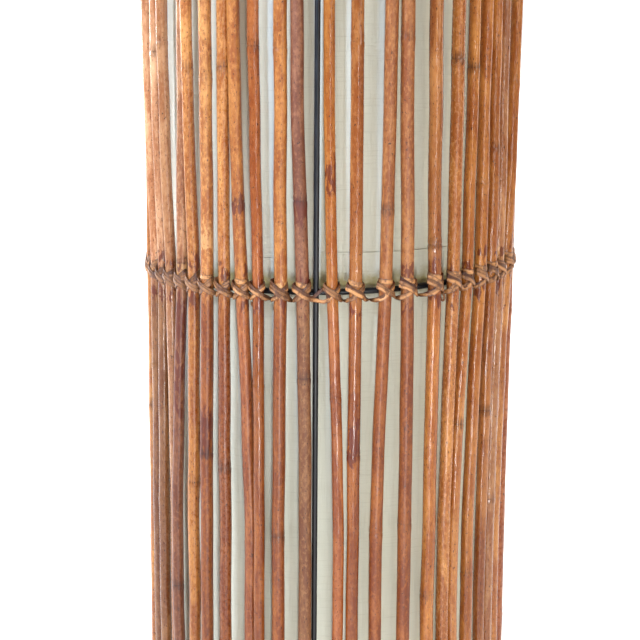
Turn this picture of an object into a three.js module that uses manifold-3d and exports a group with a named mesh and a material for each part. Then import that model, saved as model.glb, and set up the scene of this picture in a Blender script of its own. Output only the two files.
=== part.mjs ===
// Rattan column lamp: a cylinder of upright canes lashed to three wire rings, round a woven diffuser.
// Millimetres, +Z up. The origin is on the floor, on the lamp's axis; the front faces -Y.
import * as THREE from 'three';
import { mergeVertices } from 'three/addons/utils/BufferGeometryUtils.js';
import Module from 'manifold-3d';

const wasm = await Module();
wasm.setup();

// ---------------------------------------------------------------- driving dimensions
const GAP = 0.3;                       // room left between pieces that touch

const WIRE_R = 3;                      // ring wire, 6 mm thick
const RING_R = 151;                    // centre line of each ring
const RING_Z = { lower: 70, middle: 600, upper: 1130 };
const RING_TILT = { lower: 0, middle: 1.2, upper: 0 };   // degrees about Y, right side up

const UPRIGHT_R = 2.5;                 // upright wire, 5 mm thick
const UPRIGHT_TOP = RING_Z.upper + 12;
const FRONT_UPRIGHT_ANGLE = -4.2;

const FOOT = { radius: 7, height: 18, floor: 4 };

const CANE_BOTTOM = 23;
const CANE_TOP = 1190;
const CANE_SIDES = 8;
const CANE_STEPS = 8;

// Canes of the front half. Angles are in degrees from the front towards +X. A cane is straight over the
// rings and leans sideways (+ towards +X) and out between them: shiftUp and outUp, in mm, half way up
// the upper bay, and shiftDown and outDown half way down the lower one. A joined cane makes one piece
// with the next cane round.
const FRONT_CANES = [
  { angle: -82, diameter: 10.5 },
  { angle: -72.5, diameter: 10.5, shiftUp: -15, shiftDown: -2, outUp: 4 },
  { angle: -65.3, diameter: 10, shiftUp: -5, shiftDown: -4, outUp: 4, joined: true },
  { angle: -59.3, diameter: 10, shiftUp: -8.5, shiftDown: -2, outUp: 3, outDown: -4 },
  { angle: -52.2, diameter: 10.2, shiftDown: -10.5, outUp: -2, outDown: 1 },
  { angle: -46, diameter: 10.5, shiftUp: -6.5, shiftDown: -3, outUp: 2 },
  { angle: -40.1, diameter: 11, shiftUp: -1, shiftDown: -3 },
  { angle: -33.7, diameter: 10.4, shiftUp: 0, shiftDown: 0.5 },
  { angle: -27.3, diameter: 10.7, shiftUp: -8, shiftDown: 7.5, outDown: -2.4 },
  { angle: -21.8, diameter: 9.8, shiftUp: -5, shiftDown: 1.5, outDown: 2.4 },
  { angle: -14.8, diameter: 11, shiftUp: -0.5, shiftDown: -1.5 },
  { angle: -8, diameter: 11, shiftUp: -6.5, shiftDown: 3.5, outDown: 2 },
  { angle: 0.7, diameter: 9.6, shiftUp: -4.5, shiftDown: 7 },
  { angle: 7.6, diameter: 11, shiftUp: -0.5, shiftDown: -0.5 },
  { angle: 16.6, diameter: 11, shiftUp: 2.5, shiftDown: -6 },
  { angle: 23.7, diameter: 11.6, shiftUp: -4, shiftDown: 0.5 },
  { angle: 32.9, diameter: 11.6, shiftUp: -3, shiftDown: -1.5 },
  { angle: 40.2, diameter: 11.2, shiftUp: 0.5, shiftDown: -5 },
  { angle: 46.4, diameter: 10.2, shiftUp: 3.5, shiftDown: -11 },
  { angle: 53, diameter: 11, shiftUp: 1, shiftDown: -10.5 },
  { angle: 60, diameter: 10.6, shiftUp: -1, shiftDown: -8, joined: true },
  { angle: 66, diameter: 10.5, shiftUp: 1, shiftDown: -9 },
  { angle: 75.2, diameter: 10.8, shiftDown: -6, outUp: 4, outDown: -4 },
  { angle: 84, diameter: 10.5, outDown: -2, joined: true },
];
const BACK_CANES = 26;                 // spread over the rest of the circle
const UPRIGHT_AFTER = { right: 1, back: 13, left: 25 };  // back canes that an upright follows
const UPRIGHT_SPACE = 1.3;             // the gap there, against the gap between other back canes
const BRIDGE = { height: 7, depth: 3, setback: 2 };

const SHEET_R = 145.5;                 // outside of the lower sheet
const SHEET_WALL = 0.8;
const SHEET_BOTTOM = 67;
const SEAM_Z = 638;
const SEAM_LAP = 12;
const SHEET_TOP = 1165;
const SHEET_SIDES = 40;
const HOOP_WIRE_R = 1.4;

const BAR = { width: 25, thickness: 3, length: 305 };
const STEM = { radius: 5, bore: 4, bottom: 48, top: 436 };
const NUT = { across: 17, height: 6 };
const SOCKET_Z = 430;                  // underside of the lampholder
const BULB_Z = 455;                    // tip contact of the bulb

// ---------------------------------------------------------------- colours
const finish = (color, roughness, metalness = 0) => ({ color, roughness, metalness });
const CANE_TONES = [0xb4622c, 0xa5522a, 0xc07a3c, 0x96502e, 0xb87040];
const BLACK_WIRE = finish(0x15161a, 0.4, 0.6);
const LASHING = finish(0x9a6a3a, 0.55);
const CLOTH = finish(0xcfc8b4, 0.9);
const RUBBER = finish(0x1c1c1c, 0.85);
const STEEL = finish(0x8d9093, 0.35, 0.9);
const BRASS = finish(0xb08d4c, 0.35, 0.9);
const BLACK_PLASTIC = finish(0x202022, 0.5);
const OPAL_GLASS = finish(0xf4f1e6, 0.25);

// ---------------------------------------------------------------- helpers
const radians = THREE.MathUtils.degToRad;
const lamp = new THREE.Group();

function add(name, geometry, look, place = {}) {
  const mesh = new THREE.Mesh(geometry, new THREE.MeshStandardMaterial(look));
  mesh.name = name;
  mesh.position.set(place.x ?? 0, place.y ?? 0, place.z ?? 0);
  mesh.rotation.y = radians(place.tiltY ?? 0);
  lamp.add(mesh);
}

// A point at a given radius, angle from the front and height.
function around(radius, angle, z) {
  return new THREE.Vector3(radius * Math.sin(radians(angle)), -radius * Math.cos(radians(angle)), z);
}

// A solid turned round the Z axis from [radius, height] points, run anticlockwise in the (r, z) plane.
function turned(points, sides) {
  const profile = points.map(([r, z]) => new THREE.Vector2(r, z));
  return new THREE.LatheGeometry(profile, sides).rotateX(Math.PI / 2);
}

// A tube wall: the closed ring of a rectangle swept round the axis.
function pipe(inner, outer, z0, z1, sides) {
  return turned([[inner, z0], [outer, z0], [outer, z1], [inner, z1], [inner, z0]], sides);
}

// A closed loop of round wire.
function wireRing(radius, wire, sides, steps) {
  return new THREE.TorusGeometry(radius, wire, sides, steps);
}

// A rod of polygonal section swept along a curve, with closed ends.
function rod(curve, radius, sides, steps) {
  const corners = Array.from({ length: sides }, (_, s) => {
    const turn = (2 * Math.PI * s) / sides;
    return new THREE.Vector2(radius * Math.cos(turn), radius * Math.sin(turn));
  });
  return new THREE.ExtrudeGeometry(new THREE.Shape(corners), { steps, extrudePath: curve });
}

function toManifold(geometry) {
  const bare = geometry.clone();
  bare.deleteAttribute('normal');
  bare.deleteAttribute('uv');
  const merged = mergeVertices(bare, 1e-4);
  return new wasm.Manifold(new wasm.Mesh({
    numProp: 3,
    vertProperties: new Float32Array(merged.attributes.position.array),
    triVerts: new Uint32Array(merged.index.array),
  }));
}

function fromManifold(solid) {
  const mesh = solid.getMesh();
  const geometry = new THREE.BufferGeometry();
  geometry.setAttribute('position', new THREE.Float32BufferAttribute(mesh.vertProperties, 3));
  geometry.setIndex(Array.from(mesh.triVerts));
  return geometry;
}

// ---------------------------------------------------------------- canes
// Each cane lies against the rings' outside and wanders a little between them.
const firstAngle = FRONT_CANES[0].angle;
const lastAngle = FRONT_CANES.at(-1).angle;
const afterUpright = Object.values(UPRIGHT_AFTER);
const backGaps = BACK_CANES + 1 + (UPRIGHT_SPACE - 1) * afterUpright.length;
const backStep = (360 + firstAngle - lastAngle) / backGaps;

// Angle of the k-th back cane; a fraction gives a place between two canes.
function backAngle(k) {
  const widened = afterUpright.map((n) => THREE.MathUtils.clamp(k - n, 0, 1));
  return lastAngle + backStep * (k + (UPRIGHT_SPACE - 1) * widened.reduce((a, b) => a + b, 0));
}

const backCanes = Array.from({ length: BACK_CANES }, (_, n) => {
  const k = n + 1;
  return {
    angle: backAngle(k) + 0.3 * Math.sin(2.3 * k),
    diameter: 10.7 + 0.6 * Math.sin(4.1 * k),
    shiftUp: 2.8 * Math.sin(1.9 * k + 1),
    shiftDown: 3 * Math.sin(2.7 * k),
    joined: k % 2 === 0,
  };
});

const uprightAngles = { front: FRONT_UPRIGHT_ANGLE };
for (const [side, k] of Object.entries(UPRIGHT_AFTER)) {
  uprightAngles[side] = backAngle(k + 0.5);
}

// A cane's centre at height z. Its lean swells and dies away over each bay between two rings.
function caneCentre(cane, z) {
  const { shiftUp = 0, shiftDown = 0, outUp = 0, outDown = 0 } = cane;
  const inBay = z > RING_Z.lower && z < RING_Z.upper;
  const upperBay = z > RING_Z.middle;
  const bay = upperBay ? RING_Z.upper - RING_Z.middle : RING_Z.middle - RING_Z.lower;
  const swell = inBay ? Math.sin((Math.PI * Math.abs(z - RING_Z.middle)) / bay) : 0;
  const radius = RING_R + WIRE_R + GAP + cane.diameter / 2;
  const turn = THREE.MathUtils.radToDeg((upperBay ? shiftUp : shiftDown) * swell / radius);
  return around(radius + (upperBay ? outUp : outDown) * swell, cane.angle + turn, z);
}

// Heights at which a cane's curve is fixed: both ends, the rings, and the quarters of each bay.
function caneHeights(k) {
  const bay = (from, to) => [0.25, 0.5, 0.75, 1].map((t) => from + (to - from) * t);
  return [
    CANE_BOTTOM + 4 * Math.sin(3.7 * k), RING_Z.lower, ...bay(RING_Z.lower, RING_Z.middle),
    ...bay(RING_Z.middle, RING_Z.upper), CANE_TOP + 8 * Math.sin(5.3 * k + 1),
  ];
}

function caneSolid(cane, k) {
  const line = new THREE.CatmullRomCurve3(caneHeights(k).map((z) => caneCentre(cane, z)));
  return rod(line, cane.diameter / 2, CANE_SIDES, CANE_STEPS);
}

// Two neighbouring canes joined by a short bridge behind the lashing.
function canePair(first, second, k) {
  const a = caneCentre(first, RING_Z.middle);
  const b = caneCentre(second, RING_Z.middle);
  const bridge = new THREE.BoxGeometry(a.distanceTo(b), BRIDGE.depth, BRIDGE.height);
  bridge.rotateZ(Math.atan2(b.y - a.y, b.x - a.x));
  const middle = a.clone().add(b).divideScalar(2);
  const inward = new THREE.Vector3(-middle.x, -middle.y, 0).setLength(BRIDGE.setback);
  middle.add(inward);
  bridge.translate(middle.x, middle.y, middle.z);
  return fromManifold(
    toManifold(caneSolid(first, k)).add(toManifold(caneSolid(second, k + 1))).add(toManifold(bridge)),
  );
}

// Numbered round the lamp from the second cane of the front; the first one comes last, behind the left side.
const canes = [...FRONT_CANES.slice(1), ...backCanes, FRONT_CANES[0]];
const two = (n) => String(n).padStart(2, '0');
const tone = (k) => finish(CANE_TONES[(k * 3) % CANE_TONES.length], 0.35);
canes.forEach((cane, k) => {
  if (cane.joined) {
    add(`canes_${two(k + 1)}_${two(k + 2)}`, canePair(cane, canes[k + 1], k), tone(k));
  } else if (!canes[k - 1]?.joined) {
    add(`cane_${two(k + 1)}`, caneSolid(cane, k), tone(k));
  }
});

// ---------------------------------------------------------------- wire frame and feet
for (const [level, z] of Object.entries(RING_Z)) {
  add(`ring_${level}`, wireRing(RING_R, WIRE_R, 6, 40), BLACK_WIRE, { z, tiltY: -RING_TILT[level] });
}

const uprightRadius = RING_R + WIRE_R + GAP + UPRIGHT_R;
const uprightBottom = FOOT.floor + GAP;
for (const [side, angle] of Object.entries(uprightAngles)) {
  const length = UPRIGHT_TOP - uprightBottom;
  const wire = new THREE.CylinderGeometry(UPRIGHT_R, UPRIGHT_R, length, 10).rotateX(Math.PI / 2);
  const at = around(uprightRadius, angle, 0);
  add(`upright_${side}`, wire, BLACK_WIRE, { x: at.x, y: at.y, z: uprightBottom + length / 2 });
  const hole = UPRIGHT_R + GAP;
  const foot = turned([
    [0, 0], [FOOT.radius - 1, 0], [FOOT.radius, 1], [FOOT.radius, FOOT.height],
    [hole, FOOT.height], [hole, FOOT.floor], [0, FOOT.floor],
  ], 10);
  add(`foot_${side}`, foot, RUBBER, { x: at.x, y: at.y });
}

// ---------------------------------------------------------------- lashings
// One flat band per ring, passing over every cane and dipping towards the ring between them.
const BAND = { clearance: 1, thickness: 1.4, height: 16, shoulder: 4, dip: 4.5 };

const caneRound = [...FRONT_CANES, ...backCanes];

// The band's inner or outer outline in plan; reach is its distance out from the canes.
function bandOutline(reach) {
  return caneRound.flatMap((cane, k) => {
    const next = caneRound[(k + 1) % caneRound.length];
    const nextAngle = next.angle + (k + 1 === caneRound.length ? 360 : 0);
    const clear = RING_R + WIRE_R + GAP + BAND.clearance + reach;
    const crest = clear + cane.diameter;
    const dip = clear + Math.min(cane.diameter, next.diameter) - BAND.dip;
    const shoulder = THREE.MathUtils.radToDeg(BAND.shoulder / crest);
    return [
      around(crest, cane.angle - shoulder, 0),
      around(crest, cane.angle + shoulder, 0),
      around(dip, (cane.angle + nextAngle) / 2, 0),
    ].map((p) => new THREE.Vector2(p.x, p.y));
  });
}

function lashing() {
  const band = new THREE.Shape(bandOutline(BAND.thickness));
  band.holes.push(new THREE.Path(bandOutline(0)));
  const solid = new THREE.ExtrudeGeometry(band, { depth: BAND.height, bevelEnabled: false });
  return solid.translate(0, 0, -BAND.height / 2);
}

for (const [level, z] of Object.entries(RING_Z)) {
  add(`lashing_${level}`, lashing(), LASHING, { z, tiltY: -RING_TILT[level] });
}

// ---------------------------------------------------------------- diffuser
const upperSheetR = SHEET_R - SHEET_WALL - GAP;
add('diffuser_lower_sheet', pipe(SHEET_R - SHEET_WALL, SHEET_R, SHEET_BOTTOM, SEAM_Z, SHEET_SIDES), CLOTH);
add(
  'diffuser_upper_sheet',
  pipe(upperSheetR - SHEET_WALL, upperSheetR, SEAM_Z - SEAM_LAP, SHEET_TOP, SHEET_SIDES),
  CLOTH,
);
const hoopInset = SHEET_WALL + HOOP_WIRE_R + 2 * GAP;
add('diffuser_lower_hoop', wireRing(SHEET_R - hoopInset, HOOP_WIRE_R, 6, 32), STEEL, { z: SHEET_BOTTOM + 4 });
add('diffuser_upper_hoop', wireRing(upperSheetR - hoopInset, HOOP_WIRE_R, 6, 32), STEEL, { z: SHEET_TOP - 4 });

// ---------------------------------------------------------------- bar, stem and cord gland
const barTop = RING_Z.lower - WIRE_R - GAP;
const barBottom = barTop - BAR.thickness;
const barShape = new THREE.Shape([
  new THREE.Vector2(-BAR.length / 2, -BAR.width / 2),
  new THREE.Vector2(BAR.length / 2, -BAR.width / 2),
  new THREE.Vector2(BAR.length / 2, BAR.width / 2),
  new THREE.Vector2(-BAR.length / 2, BAR.width / 2),
]);
barShape.holes.push(new THREE.Path().absarc(0, 0, STEM.radius + GAP, 0, 2 * Math.PI, true));
const barSolid = new THREE.ExtrudeGeometry(barShape, { depth: BAR.thickness, bevelEnabled: false, curveSegments: 8 });
add('base_bar', barSolid, BLACK_WIRE, { z: barBottom });

add('stem_tube', pipe(STEM.bore, STEM.radius, STEM.bottom, STEM.top, 16), STEEL);

// A hexagon nut above the bar; the gland screws on below it.
function nut(name, z) {
  const hexagon = new THREE.Shape();
  for (let s = 0; s < 6; s++) {
    const turn = radians(60 * s);
    const reach = NUT.across / 2 / Math.cos(radians(30));
    hexagon[s ? 'lineTo' : 'moveTo'](reach * Math.cos(turn), reach * Math.sin(turn));
  }
  hexagon.closePath();
  hexagon.holes.push(new THREE.Path().absarc(0, 0, STEM.radius + GAP, 0, 2 * Math.PI, true));
  const solid = new THREE.ExtrudeGeometry(hexagon, { depth: NUT.height, bevelEnabled: false, curveSegments: 8 });
  add(name, solid, STEEL, { z });
}
nut('stem_nut', barTop + GAP);

const glandTop = barBottom - GAP;
const glandSeat = STEM.bottom - GAP;
add('cord_gland', turned([
  [STEM.bore, 34], [6.5, 34], [9, 40], [9, glandTop], [STEM.radius + GAP, glandTop],
  [STEM.radius + GAP, glandSeat], [STEM.bore, glandSeat], [STEM.bore, 34],
], 16), BLACK_PLASTIC);

// ---------------------------------------------------------------- lampholder and bulb
const stemHole = STEM.radius + GAP;
add('lampholder_cap', turned([
  [stemHole, SOCKET_Z], [12, SOCKET_Z], [18, SOCKET_Z + 8], [18, SOCKET_Z + 16],
  [15.5, SOCKET_Z + 16], [15.5, SOCKET_Z + 9.5], [11, SOCKET_Z + 3], [stemHole, SOCKET_Z + 3],
  [stemHole, SOCKET_Z],
], 20), BLACK_PLASTIC);

const shellBottom = SOCKET_Z + 16 + GAP;
const shellTop = BULB_Z + 30;
add('lampholder_shell', turned([
  [8, shellBottom], [18, shellBottom], [18, shellTop - 6], [20, shellTop - 6], [20, shellTop],
  [14.2, shellTop], [14.2, shellBottom + 8], [8, shellBottom + 8], [8, shellBottom],
], 20), BLACK_PLASTIC);

add('bulb_cap', turned([
  [0, BULB_Z], [4.5, BULB_Z], [9, BULB_Z + 3.5], [13.2, BULB_Z + 5],
  [13.2, BULB_Z + 26], [0, BULB_Z + 26],
], 20), BRASS);

// The bulb's glass: a thin open-necked shell.
const glassBottom = BULB_Z + 26 + GAP;
const glassOutline = [[13.2, 0], [13.6, 8], [19, 22], [27, 36], [30, 50], [27, 65], [16, 77], [0, 81]];
const glassInside = glassOutline.map(([r, z]) => [Math.max(r - 1, 0), z === 0 ? 0 : z - 0.6]);
glassInside[glassInside.length - 1] = [0, 79.8];
add('bulb_glass', turned([
  ...glassOutline,
  ...glassInside.reverse(),
  glassOutline[0],
].map(([r, z]) => [r, glassBottom + z]), 16), OPAL_GLASS);

export default lamp;
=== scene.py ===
import math
import random

import bmesh
import bpy
from mathutils import Matrix, Vector, noise


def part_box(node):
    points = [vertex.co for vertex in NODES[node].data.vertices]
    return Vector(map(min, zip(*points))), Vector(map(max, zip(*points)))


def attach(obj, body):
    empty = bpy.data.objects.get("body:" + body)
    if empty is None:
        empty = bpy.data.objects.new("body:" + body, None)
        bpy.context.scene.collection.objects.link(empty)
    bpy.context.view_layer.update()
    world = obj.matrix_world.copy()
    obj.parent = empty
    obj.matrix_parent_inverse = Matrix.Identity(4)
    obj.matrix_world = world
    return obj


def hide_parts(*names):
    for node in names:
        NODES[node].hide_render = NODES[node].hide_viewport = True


bl_info = {
    "name": "Cane column lamp",
    "version": (1, 0, 0),
    "blender": (4, 5, 0),
    "location": "3D View > Sidebar > Cane lamp",
    "description": "A column of varnished canes lashed to a wire frame, round a cloth diffuser",
    "category": "Add Mesh",
}

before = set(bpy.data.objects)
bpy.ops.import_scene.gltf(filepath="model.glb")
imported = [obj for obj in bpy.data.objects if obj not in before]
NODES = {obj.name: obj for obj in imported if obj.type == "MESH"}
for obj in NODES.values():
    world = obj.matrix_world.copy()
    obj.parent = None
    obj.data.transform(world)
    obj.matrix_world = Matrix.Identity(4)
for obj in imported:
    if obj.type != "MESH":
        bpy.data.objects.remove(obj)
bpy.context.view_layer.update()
MM = 0.001

LEVELS = ("lower", "middle", "upper")
SIDES = ("front", "right", "back", "left")


# ---------------------------------------------------------------- places read from the frame
def middle(node):
    """The middle of a node's box."""
    low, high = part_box(node)
    return (low + high) / 2


def round_place(radius, angle, height):
    """A point by its distance from the lamp's axis, its angle from the front towards +X, and its height."""
    return Vector((radius * math.sin(angle), -radius * math.cos(angle), height))


def angle_of(point):
    return math.atan2(point.x, -point.y)


def flat_length(point):
    return math.hypot(point.x, point.y)


def ring_tilt(level):
    """The ring's tilt about the Y axis, with the +X side up."""
    low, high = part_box(f"ring_{level}")
    rise = (high.z - low.z) - WIRE_THICKNESS
    return math.atan2(max(rise, 0.0), high.x - low.x - WIRE_THICKNESS)


WIRE_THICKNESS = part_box("ring_lower")[1].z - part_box("ring_lower")[0].z
RING_HEIGHT = {level: middle(f"ring_{level}").z for level in LEVELS}
RING_RADIUS = (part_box("ring_lower")[1].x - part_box("ring_lower")[0].x - WIRE_THICKNESS) / 2
RING_TILT = {level: ring_tilt(level) for level in LEVELS}
UPRIGHT_PLACE = {side: middle(f"upright_{side}") for side in SIDES}
UPRIGHT_RADIUS = (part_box("upright_front")[1].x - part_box("upright_front")[0].x) / 2
UPRIGHT_REACH = flat_length(UPRIGHT_PLACE["front"])


def ring_height_at(level, point):
    """Height of a ring's centre line beside a point, with the ring's tilt."""
    return RING_HEIGHT[level] + point.x * math.tan(RING_TILT[level])


# ---------------------------------------------------------------- sizes and colours a user would change
def shade(hex_code, alpha=1.0):
    """A linear colour from the usual six-digit code."""
    channels = [int(hex_code[k : k + 2], 16) / 255 for k in (0, 2, 4)]
    return [c / 12.92 if c < 0.04045 else ((c + 0.055) / 1.055) ** 2.4 for c in channels] + [alpha]


def colour_property(name, description, hex_code):
    return bpy.props.FloatVectorProperty(
        name=name, description=description, subtype="COLOR", size=4, min=0, max=1, default=shade(hex_code)
    )


def length_property(name, description, millimetres):
    return bpy.props.FloatProperty(
        name=name, description=description, unit="LENGTH", min=0, precision=4, default=millimetres * MM
    )


class CaneSettings(bpy.types.PropertyGroup):
    """Shape and finish of the canes"""

    step: length_property("Step", "Distance between two rows of points along a cane", 14)
    joint_spacing: length_property("Joint spacing", "Usual distance between two joints of a cane", 330)
    joint_swelling: length_property("Joint swelling", "How far a joint stands proud of the cane", 0.45)
    joint_groove: length_property("Joint groove", "Depth of the scar round a joint", 0.35)
    uneven: bpy.props.FloatProperty(
        name="Unevenness", description="Share by which a cane's thickness varies",
        min=0, max=0.2, default=0.045
    )
    straw: colour_property("Straw", "Palest cane", "d8a274")
    fawn: colour_property("Fawn", "Dull pale cane", "b88458")
    honey: colour_property("Honey", "Yellow cane", "cb8a4a")
    amber: colour_property("Amber", "Deep yellow cane", "bb7838")
    toffee: colour_property("Toffee", "Yellow-brown cane", "a96c38")
    orange: colour_property("Orange", "Orange cane", "aa6434")
    rust: colour_property("Rust", "Red-brown cane", "965422")
    brown: colour_property("Brown", "Brown cane", "90613a")
    plum: colour_property("Plum", "Darkest cane", "8a5636")
    stain: colour_property("Stain", "Red stain beside the lashings", "5e2210")
    scar: colour_property("Scar", "Dark line round a joint", "3a2018")
    bare: colour_property("Bare wood", "Wood where the skin is scraped off", "d0995e")


class LashingSettings(bpy.types.PropertyGroup):
    """Split cane round the rings"""

    strip_width: length_property("Strip width", "Width of the split cane", 3.3)
    strip_thickness: length_property("Strip thickness", "Thickness of the split cane", 0.8)
    band_width: length_property("Band width", "Width of the turn above a crossing", 4.6)
    light: colour_property("Light", "Outer skin of the split cane", "de9c5e")
    # The dark colour is also used as painted shade, at the strip edges and on strands that lie under others.
    dark: colour_property("Dark", "Edges and folds of the split cane", "4a2410")


class ClothSettings(bpy.types.PropertyGroup):
    """Cloth of the diffuser"""

    thread: length_property("Thread", "Distance between two threads", 1.1)
    hem: length_property("Hem", "Width of the tape round each free edge", 11)
    skew: length_property("Skew", "How far the rolled lower sheet's ends miss each other in height", 7)
    light: colour_property("Light", "Cloth in the light", "e3e4d0")
    dull: colour_property("Dull", "Slubs and aged threads", "cbcbb4")
    greenish_tinge: colour_property("Tinge", "Greenish dust above the middle ring", "a8984a")


class HardwareSettings(bpy.types.PropertyGroup):
    """Paint, metal, rubber, plastic and glass"""

    paint: colour_property("Paint", "Black paint of the wire frame", "0b0c0f")
    rubber: colour_property("Rubber", "Feet", "1d1d1e")
    zinc: colour_property("Zinc", "Plated stem, nut and hoops", "a3a6a8")
    brass: colour_property("Brass", "Screw cap of the bulb", "b8954f")
    plastic: colour_property("Plastic", "Lampholder and gland", "1b1b1d")
    glass: colour_property("Glass", "Opal glass of the bulb", "f3f0e6")


class StageSettings(bpy.types.PropertyGroup):
    """Camera, floor and light"""

    eye_distance: length_property("Eye distance", "Distance from the camera to the lamp's axis", 1693)
    eye_height: length_property("Eye height", "Height of the camera over the middle ring", 309.6)
    look_down: bpy.props.FloatProperty(
        name="Look down", description="Angle of the view below level",
        subtype="ANGLE", default=math.radians(12.2)
    )
    turn: bpy.props.FloatProperty(
        name="Turn", description="Turn of the view to the left", subtype="ANGLE", default=math.radians(0.3)
    )
    roll: bpy.props.FloatProperty(
        name="Roll", description="Roll of the camera", subtype="ANGLE", default=math.radians(0.365)
    )
    lens: bpy.props.FloatProperty(name="Lens", description="Focal length", unit="CAMERA", default=107.24)
    floor: colour_property("Floor", "Floor and backdrop", "f6f5f3")
    daylight: bpy.props.FloatProperty(
        name="Daylight", description="Strength of the even light from all round", min=0, default=0.18
    )


SETTINGS = {
    "lamp_canes": CaneSettings,
    "lamp_lashing": LashingSettings,
    "lamp_cloth": ClothSettings,
    "lamp_hardware": HardwareSettings,
    "lamp_stage": StageSettings,
}


# ---------------------------------------------------------------- modelling helpers
def added(name):
    """Names the object that an operator has just added."""
    piece = bpy.context.object
    piece.name = name
    piece.data.name = name
    return piece


def deselect():
    bpy.ops.object.select_all(action="DESELECT")


def choose(*pieces):
    """Selects these objects only; the first is the active one."""
    deselect()
    for piece in pieces:
        piece.select_set(True)
    bpy.context.view_layer.objects.active = pieces[0]


def select_by(piece, kind, test):
    """In edit mode, selects the vertices, edges or faces that pass a test on them."""
    mesh = bmesh.from_edit_mesh(piece.data)
    bpy.ops.mesh.select_all(action="DESELECT")
    for item in getattr(mesh, kind):
        if test(item):
            item.select_set(True)
    mesh.select_flush_mode()
    bmesh.update_edit_mesh(piece.data)


def settle(piece):
    """Moves an object's place, turn and scale into its mesh."""
    choose(piece)
    bpy.ops.object.transform_apply(location=True, rotation=True, scale=True)


def apply_modifier(piece, kind, **values):
    choose(piece)
    modifier = piece.modifiers.new(kind.lower(), kind)
    for key, value in values.items():
        setattr(modifier, key, value)
    bpy.ops.object.modifier_apply(modifier=modifier.name)


def join(name, pieces):
    choose(*pieces)
    bpy.ops.object.join()
    return added(name)


def turned(name, profile, steps):
    """A surface turned round the lamp's axis from (radius, height) points in metres."""
    deselect()
    bpy.ops.mesh.primitive_plane_add(size=MM)
    piece = added(name)
    bpy.ops.object.mode_set(mode="EDIT")
    bpy.ops.mesh.merge(type="CENTER")
    before = Vector((0, 0, 0))
    for k, (radius, height) in enumerate(profile):
        after = Vector((radius, 0, height))
        if k == 0:
            bpy.ops.transform.translate(value=after - before)
        else:
            bpy.ops.mesh.extrude_region_move(TRANSFORM_OT_translate={"value": after - before})
        before = after
    bpy.ops.mesh.select_all(action="SELECT")
    bpy.ops.mesh.spin(steps=steps, angle=2 * math.pi, center=(0, 0, 0), axis=(0, 0, 1))
    bpy.ops.mesh.select_all(action="SELECT")
    bpy.ops.mesh.remove_doubles(threshold=2e-5)
    bpy.ops.mesh.normals_make_consistent(inside=False)
    bpy.ops.object.mode_set(mode="OBJECT")
    return piece


def smooth(piece, degrees=35):
    choose(piece)
    bpy.ops.object.shade_smooth_by_angle(angle=math.radians(degrees))


def hand_over(piece, body, slot, material, *nodes):
    """Gives a finished piece its material and puts it in the place of its CAD nodes."""
    piece.data.materials.clear()
    for each in material if isinstance(material, (list, tuple)) else [material]:
        piece.data.materials.append(each)
    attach(piece, body)
    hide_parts(*nodes)
    return piece


# ---------------------------------------------------------------- material helpers
def node(tree, kind, inputs=None, **settings):
    made = tree.nodes.new(kind)
    for key, value in settings.items():
        setattr(made, key, value)
    for key, value in (inputs or {}).items():
        if isinstance(value, bpy.types.NodeSocket):
            tree.links.new(value, made.inputs[key])
        else:
            made.inputs[key].default_value = value
    return made


def new_material(name):
    """A material with one Principled shader. Returns the material, its node tree and the shader."""
    material = bpy.data.materials.get(name)
    if material:
        bpy.data.materials.remove(material)
    material = bpy.data.materials.new(name)
    material.use_nodes = True
    tree = material.node_tree
    return material, tree, tree.nodes["Principled BSDF"]


def place_on(tree, scale=(1, 1, 1), uv=None):
    """Coordinates for a pattern, from the object or from a UV map, stretched by a Mapping node."""
    if uv:
        source = node(tree, "ShaderNodeUVMap", uv_map=uv).outputs["UV"]
    else:
        source = node(tree, "ShaderNodeTexCoord").outputs["Object"]
    return node(tree, "ShaderNodeMapping", {"Vector": source, "Scale": scale}).outputs["Vector"]


def grain(tree, place, scale, detail=3.0, roughness=0.55, distortion=0.0):
    values = {
        "Vector": place, "Scale": scale, "Detail": detail,
        "Roughness": roughness, "Distortion": distortion,
    }
    return node(tree, "ShaderNodeTexNoise", values).outputs["Fac"]


def ramp(tree, value, low, high, to_low=0.0, to_high=1.0):
    """The value carried from low..high to to_low..to_high, and held at the ends."""
    values = {"Value": value, "From Min": low, "From Max": high, "To Min": to_low, "To Max": to_high}
    return node(tree, "ShaderNodeMapRange", values).outputs["Result"]


def maths(tree, operation, a, b):
    """The result of one Math node."""
    return node(tree, "ShaderNodeMath", {0: a, 1: b}, operation=operation).outputs["Value"]


def mixed(tree, factor, a, b, blend="MIX"):
    made = node(tree, "ShaderNodeMix", {0: factor, 6: a, 7: b}, data_type="RGBA", blend_type=blend)
    return made.outputs[2]


def attribute(tree, name):
    return node(tree, "ShaderNodeAttribute", attribute_name=name, attribute_type="GEOMETRY")


def bump(tree, shader, height, distance, strength=1.0):
    values = {"Height": height, "Distance": distance, "Strength": strength}
    tree.links.new(node(tree, "ShaderNodeBump", values).outputs["Normal"], shader.inputs["Normal"])


def connect(tree, shader, **sockets):
    for key, value in sockets.items():
        tree.links.new(value, shader.inputs[key.replace("_", " ")])


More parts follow.
